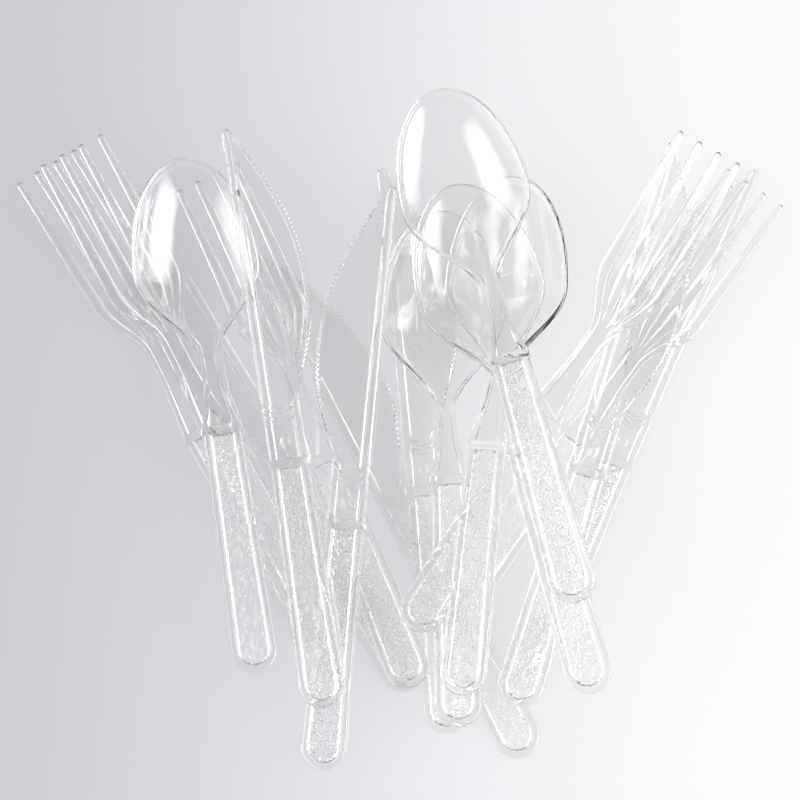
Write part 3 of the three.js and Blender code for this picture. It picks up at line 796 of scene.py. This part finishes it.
# %% The tree that makes the teeth
def tooth_tree():
    sizes = {"Pitch": TOOTH_PITCH * MM, "Depth": TOOTH_DEPTH * MM, "Thinning": TOOTH_THINNING}
    tree, given = moulding_tree("serrated_edge", sizes)
    position = add(tree, "GeometryNodeInputPosition").outputs[0]
    height = add(tree, "ShaderNodeSeparateXYZ", {0: position}).outputs["Z"]
    tooth = add(tree, "GeometryNodeInputNamedAttribute", {"Name": "tooth"}, data_type="FLOAT")
    run = add(tree, "GeometryNodeInputNamedAttribute", {"Name": "run"}, data_type="FLOAT")
    # How deep the gap is at each point: 0 on a crest, 1 half a pitch on
    half_pitch = add(tree, "ShaderNodeMath", {0: given["Pitch"], 1: 0.5}, operation="MULTIPLY")
    wave = add(tree, "ShaderNodeMath", {
        0: run.outputs["Attribute"],
        1: half_pitch.outputs[0],
    }, operation="PINGPONG")
    share = add(tree, "ShaderNodeMath", {
        0: wave.outputs[0],
        1: half_pitch.outputs[0],
    }, operation="DIVIDE")
    bite = add(tree, "ShaderNodeMath", {
        0: share.outputs[0],
        1: tooth.outputs["Attribute"],
    }, operation="MULTIPLY").outputs[0]
    # The gap draws the edge back and thins it
    back = add(tree, "ShaderNodeMath", {0: bite, 1: given["Depth"]}, operation="MULTIPLY")
    inwards = add(tree, "ShaderNodeMath", {0: back.outputs[0], 1: -1.0}, operation="MULTIPLY")
    thin = add(tree, "ShaderNodeMath", {0: bite, 1: given["Thinning"]}, operation="MULTIPLY")
    lowered = add(tree, "ShaderNodeMath", {0: thin.outputs[0], 1: height}, operation="MULTIPLY")
    sunk = add(tree, "ShaderNodeMath", {0: lowered.outputs[0], 1: -1.0}, operation="MULTIPLY")
    offset = add(tree, "ShaderNodeCombineXYZ", {"X": inwards.outputs[0], "Z": sunk.outputs[0]})
    return move_points(tree, given, offset.outputs[0])


# %% Grains and teeth on the plain forms
def grown(mesh, trees):
    """The mesh after each tree, with nothing left live."""
    for tree in trees:
        carrier = bpy.data.objects.new("carrier", mesh)
        bpy.context.collection.objects.link(carrier)
        modifier = carrier.modifiers.new("nodes", "NODES")
        modifier.node_group = tree
        for item in tree.interface.items_tree:
            if item.in_out == "INPUT" and item.socket_type == "NodeSocketMaterial":
                modifier[item.identifier] = plastic
        bpy.context.view_layer.update()
        made = carrier.evaluated_get(bpy.context.evaluated_depsgraph_get())
        mesh = bpy.data.meshes.new_from_object(made)
        carrier.modifiers.clear()
        bpy.data.objects.remove(carrier)
    return mesh


grains, teeth = grain_tree(), tooth_tree()
trees_of = {"knife": [teeth, grains], "spoon": [grains], "fork": [grains]}
finished = {kind: grown(mesh, trees_of[kind]) for kind, mesh in forms.items()}
for kind, mesh in finished.items():
    print(kind, "finished with", len(mesh.polygons), "faces")

# %% [markdown]
# Putting each fine piece where its solid lies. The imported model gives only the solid's triangles in
# place, so the turn and the shift are worked out from them. The centre of mass and the three
# principal axes give a first fit, but an axis has no sign, so four ways round are tried. Then the
# solid's corners are drawn to the nearest place on the fine surface, again and again. A long
# piece could still slide along itself, so each time its two ends are set level with the solid's.
# The tenth of the corners that fits worst is left out, since the fine form differs most there.

# %% Finding where a piece lies
FIRST_ROUNDS = 3
LAST_ROUNDS = 12
KEPT_SHARE = 0.9


def mass_axes(points, triangles):
    """The centre of mass and the principal axes of a closed mesh."""
    a, b, c = (points[triangles[:, n]] for n in range(3))
    volume = np.einsum("ij,ij->i", a, np.cross(b, c)) / 6
    total = volume.sum()
    centre = ((a + b + c) * volume[:, None]).sum(0) / 4 / total
    a, b, c = a - centre, b - centre, c - centre
    volume = np.einsum("ij,ij->i", a, np.cross(b, c)) / 6
    spread = sum(np.einsum("i,ij,ik->jk", volume, p, p) for p in (a, b, c, a + b + c)) / 20
    axes = np.linalg.eigh(spread / total)[1]
    if np.linalg.det(axes) < 0:
        axes[:, 0] *= -1
    return centre, axes


def triangles_of(mesh):
    mesh.calc_loop_triangles()
    found = np.zeros(len(mesh.loop_triangles) * 3, np.int32)
    mesh.loop_triangles.foreach_get("vertices", found)
    return found.reshape(-1, 3)


def points_of(mesh):
    found = np.zeros(len(mesh.vertices) * 3, np.float32)
    mesh.vertices.foreach_get("co", found)
    return found.reshape(-1, 3).astype(float)


def levelled(source, turn, shift, middle):
    """The shift with which the solid's two ends lie as far out as those of the plain form."""
    along = ((source - shift) @ turn)[:, 1]
    return shift + turn[:, 1] * ((along.min() + along.max()) / 2 - middle)


def fitted(kind, source, start_turn, start_shift, rounds):
    """Draws the solid's corners onto the fine surface. Returns the turn, shift and mean gap."""
    surface, middle = surfaces[kind], middles[kind]
    turn, shift = start_turn, levelled(source, start_turn, start_shift, middle)
    for _ in range(rounds):
        local = (source - shift) @ turn
        nearest = np.array([surface.find_nearest(Vector(p))[0] for p in local])
        gap = np.linalg.norm(nearest - local, axis=1)
        keep = gap <= np.quantile(gap, KEPT_SHARE)
        near, far = nearest[keep], source[keep]
        near_mean, far_mean = near.mean(0), far.mean(0)
        u, _, vt = np.linalg.svd((near - near_mean).T @ (far - far_mean))
        flip = np.diag([1, 1, np.sign(np.linalg.det(vt.T @ u.T))])
        turn = vt.T @ flip @ u.T
        shift = levelled(source, turn, far_mean - turn @ near_mean, middle)
    return turn, shift, gap[keep].mean()


surfaces, middles = {}, {}
for kind, mesh in forms.items():
    corners = [v.co for v in mesh.vertices]
    surfaces[kind] = BVHTree.FromPolygons(corners, [p.vertices for p in mesh.polygons])
    lengthwise = points_of(mesh)[:, 1]
    middles[kind] = (lengthwise.min() + lengthwise.max()) / 2
plain_axes = {kind: mass_axes(points_of(mesh), triangles_of(mesh)) for kind, mesh in forms.items()}


def place_of(node):
    """The turn and shift that bring the plain form of a node's kind onto the node."""
    kind = node.split("_")[0]
    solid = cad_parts[node].data
    points = points_of(solid)
    centre, axes = mass_axes(points, triangles_of(solid))
    plain_centre, plain = plain_axes[kind]
    corners = np.unique(points.round(7), axis=0)
    tries = []
    for signs in ((1, 1, 1), (1, -1, -1), (-1, 1, -1), (-1, -1, 1)):
        turn = axes @ np.diag(signs) @ plain.T
        shift = centre - turn @ plain_centre
        tries.append(fitted(kind, corners[::4], turn, shift, FIRST_ROUNDS))
    turn, shift, _ = min(tries, key=lambda found: found[2])
    return fitted(kind, corners, turn, shift, LAST_ROUNDS)


# %% The pieces in place
SHARP_FROM = math.radians(50)
for node in sorted(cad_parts):
    kind = node.split("_")[0]
    turn, shift, gap = place_of(node)
    mesh = finished[kind].copy()
    mesh.name = node + "_moulding"
    mesh.transform(Matrix.Translation(shift) @ Matrix(turn.tolist()).to_4x4())
    mesh.shade_smooth()
    mesh.set_sharp_from_angle(angle=SHARP_FROM)
    mesh.materials.clear()
    mesh.materials.append(plastic)
    piece = bpy.data.objects.new(node + "_moulding", mesh)
    bpy.context.collection.objects.link(piece)
    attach(piece, "root")
    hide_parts(node)
    print(node, "fits to", round(gap / MM, 3), "mm")

# %% [markdown]
# The stage. The pieces lie on a pale, seamless sheet whose colour goes from a cool grey on the left
# to white on the right. That is painted shade and painted light: the colour stands in for the fall of
# light from one big window over a studio sweep. Clear plastic mirrors its surroundings, so the room
# is part of the look: two large soft boxes, which fade towards their edges, put the bright bars on the
# rails and in the bowls, and the dimmer ceiling draws the grey lines beside them.

# %% The floor
# The sheet's colour on the left and on the right, and where along X the one becomes the other. The
# grey is painted shade and the white painted light, standing in for one big window on the right.
SHEET_LEFT_PAINTED_SHADE = "#CFD0D3"
SHEET_RIGHT_PAINTED_LIGHT = "#FCFCFD"
SHADE_FROM = -0.16
SHADE_TO = 0.12
# How far out the sheet starts to fade into the pale walls, and where it is gone
FADE_START = 0.45
FADE_END = 1.1
SHEET_HALF = 1.2 * FADE_END
# The sheet lies this much under the surface, in millimetres, clear of the lowest piece
SHEET_DROP = 0.05


def paper_sweep_painted_shade():
    """Matt paper with painted shade and light, grey to white across, that fades far out so that no
    side view shows its edge.
    """
    material = bpy.data.materials.new("paper_sweep_painted_shade")
    material.use_nodes = True
    tree = material.node_tree
    tree.nodes.clear()
    place = add(tree, "ShaderNodeTexCoord").outputs["Object"]
    across = add(tree, "ShaderNodeMapRange", {
        "Value": add(tree, "ShaderNodeSeparateXYZ", {0: place}).outputs["X"],
        "From Min": SHADE_FROM,
        "From Max": SHADE_TO,
    }, interpolation_type="SMOOTHSTEP")
    # Painted shade and light: the paper runs from grey on the left to white on the right, standing in for
    # a window
    colour = add(tree, "ShaderNodeMix", {
        0: across.outputs["Result"],
        6: linear(SHEET_LEFT_PAINTED_SHADE),
        7: linear(SHEET_RIGHT_PAINTED_LIGHT),
    }, data_type="RGBA")
    paper = add(tree, "ShaderNodeBsdfPrincipled", {
        "Base Color": colour.outputs[2],
        "Roughness": 0.9,
        "Specular IOR Level": 0.1,
    })
    from_middle = add(tree, "ShaderNodeVectorMath", {0: place}, operation="LENGTH")
    outwards = add(tree, "ShaderNodeMapRange", {
        "Value": from_middle.outputs["Value"],
        "From Min": FADE_START,
        "From Max": FADE_END,
    }, interpolation_type="SMOOTHSTEP")
    faded = add(tree, "ShaderNodeMixShader", {
        0: outwards.outputs["Result"],
        1: paper.outputs[0],
        2: add(tree, "ShaderNodeBsdfTransparent").outputs[0],
    })
    add(tree, "ShaderNodeOutputMaterial", {"Surface": faded.outputs[0]})
    return material


sweep_mesh = bpy.data.meshes.new("sweep")
sweep_corners = [(x * SHEET_HALF, y * SHEET_HALF, 0) for x, y in ((-1, -1), (1, -1), (1, 1), (-1, 1))]
sweep_mesh.from_pydata(sweep_corners, [], [(0, 1, 2, 3)])
sweep_mesh.materials.append(paper_sweep_painted_shade())
sweep = bpy.data.objects.new("sweep", sweep_mesh)
bpy.context.collection.objects.link(sweep)
sweep.location.z = -SHEET_DROP * MM
sweep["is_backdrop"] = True
print("the sweep is", round(2 * SHEET_HALF, 2), "m wide")

# %% The lamps
# x (1 - x) has a mean of a sixth, so this keeps the whole power of a lamp that fades both ways
EVEN_LEVEL = 36.0
# Both lamps are this large and this far off, in metres
LAMP_WIDTH = 6.4
LAMP_HEIGHT = 3.5
LAMP_DISTANCE = 5


def soft_box(name, azimuth, elevation, power):
    """A rectangular lamp that looks at the middle of the set and fades towards its edges."""
    light = bpy.data.lights.new(name, "AREA")
    light.shape = "RECTANGLE"
    light.size, light.size_y, light.energy = LAMP_WIDTH, LAMP_HEIGHT, power
    light.use_nodes = True
    tree = light.node_tree
    tree.nodes.clear()
    on_lamp = add(tree, "ShaderNodeNewGeometry").outputs["Parametric"]
    place = add(tree, "ShaderNodeSeparateXYZ", {0: on_lamp}).outputs
    fade = EVEN_LEVEL
    for axis in ("X", "Y"):
        rest = add(tree, "ShaderNodeMath", {0: 1.0, 1: place[axis]}, operation="SUBTRACT").outputs[0]
        hump = add(tree, "ShaderNodeMath", {0: place[axis], 1: rest}, operation="MULTIPLY").outputs[0]
        fade = add(tree, "ShaderNodeMath", {0: hump, 1: fade}, operation="MULTIPLY").outputs[0]
    glow = add(tree, "ShaderNodeEmission", {"Strength": fade})
    add(tree, "ShaderNodeOutputLight", {"Surface": glow.outputs[0]})
    lamp = bpy.data.objects.new(name, light)
    a, e = math.radians(azimuth), math.radians(elevation)
    back = Vector((math.sin(a) * math.cos(e), -math.cos(a) * math.cos(e), math.sin(e)))
    lamp.location = back * LAMP_DISTANCE
    lamp.rotation_euler = back.to_track_quat("Z", "Y").to_euler()
    lamp.visible_camera = False
    bpy.context.collection.objects.link(lamp)
    return lamp


soft_box("window_left", azimuth=285, elevation=37, power=136)
soft_box("window_right", azimuth=75, elevation=27, power=252)
print("two lamps,", LAMP_DISTANCE, "m away")

# %% The room
# Pale walls round the sweep, and a dimmer ceiling above them. The height is that of a direction,
# from 0 at the horizon to 1 overhead.
WALLS = "#EDEEF2"
CEILING = "#929395"
WALLS_UP_TO = 0.1
CEILING_FROM = 0.3

world = bpy.data.worlds.new("studio")
bpy.context.scene.world = world
world.use_nodes = True
# The room is so even that rays find it by themselves, and picking points on it would only take time
world.cycles.sampling_method = "NONE"
world_tree = world.node_tree
world_tree.nodes.clear()
heading = add(world_tree, "ShaderNodeTexCoord").outputs["Generated"]
upwards = add(world_tree, "ShaderNodeMapRange", {
    "Value": add(world_tree, "ShaderNodeSeparateXYZ", {0: heading}).outputs["Z"],
    "From Min": WALLS_UP_TO,
    "From Max": CEILING_FROM,
}, interpolation_type="SMOOTHSTEP")
room = add(world_tree, "ShaderNodeMix", {
    0: upwards.outputs["Result"],
    6: linear(WALLS),
    7: linear(CEILING),
}, data_type="RGBA")
studio = add(world_tree, "ShaderNodeBackground", {"Color": room.outputs[2], "Strength": 1.0})
add(world_tree, "ShaderNodeOutputWorld", {"Surface": studio.outputs[0]})

# %% [markdown]
# The camera. The photograph looks straight at an upright fan. This set lies down, so the camera
# looks down on it from nearly overhead, which shows every piece from the same side.

# %% The camera
LENS = 90
# In metres: how wide a strip of the set fills the picture, where the camera aims, and the nearest
# thing that it sees
VIEW_WIDTH = 0.262
AIM = Vector((0, 0.012, 0.01))
NEAREST = 0.01
# How steeply the camera looks down, in degrees
ELEVATION = 82
camera_data = bpy.data.cameras.new("camera")
camera_data.lens = LENS
camera = bpy.data.objects.new("camera", camera_data)
bpy.context.collection.objects.link(camera)
tip = math.radians(ELEVATION)
reach = VIEW_WIDTH / 2 / (camera_data.sensor_width / 2 / LENS)
towards = Vector((0, -math.cos(tip), math.sin(tip)))
camera.location = AIM + towards * reach
camera.rotation_euler = towards.to_track_quat("Z", "Y").to_euler()
camera_data.clip_start = NEAREST
bpy.context.scene.camera = camera
bpy.context.scene.view_settings.view_transform = "Standard"
print("the camera stands", round(reach, 3), "m away")

# %% How far light is followed
# A ray inside a clear bar bounces from side to side many times before it leaves. If it is given up
# too soon, the bar shows a black line that the real plastic doesn't have.
BOUNCES = 24
light_paths = bpy.context.scene.cycles
light_paths.max_bounces = BOUNCES
light_paths.transmission_bounces = BOUNCES
light_paths.glossy_bounces = BOUNCES
light_paths.transparent_max_bounces = 2 * BOUNCES
print("light is followed for", BOUNCES, "bounces")

# %% Count the triangles and finish
triangle_count = sum(len(p.vertices) - 2 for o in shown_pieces() for p in o.data.polygons)
print("the mouldings have", triangle_count, "triangles in all")
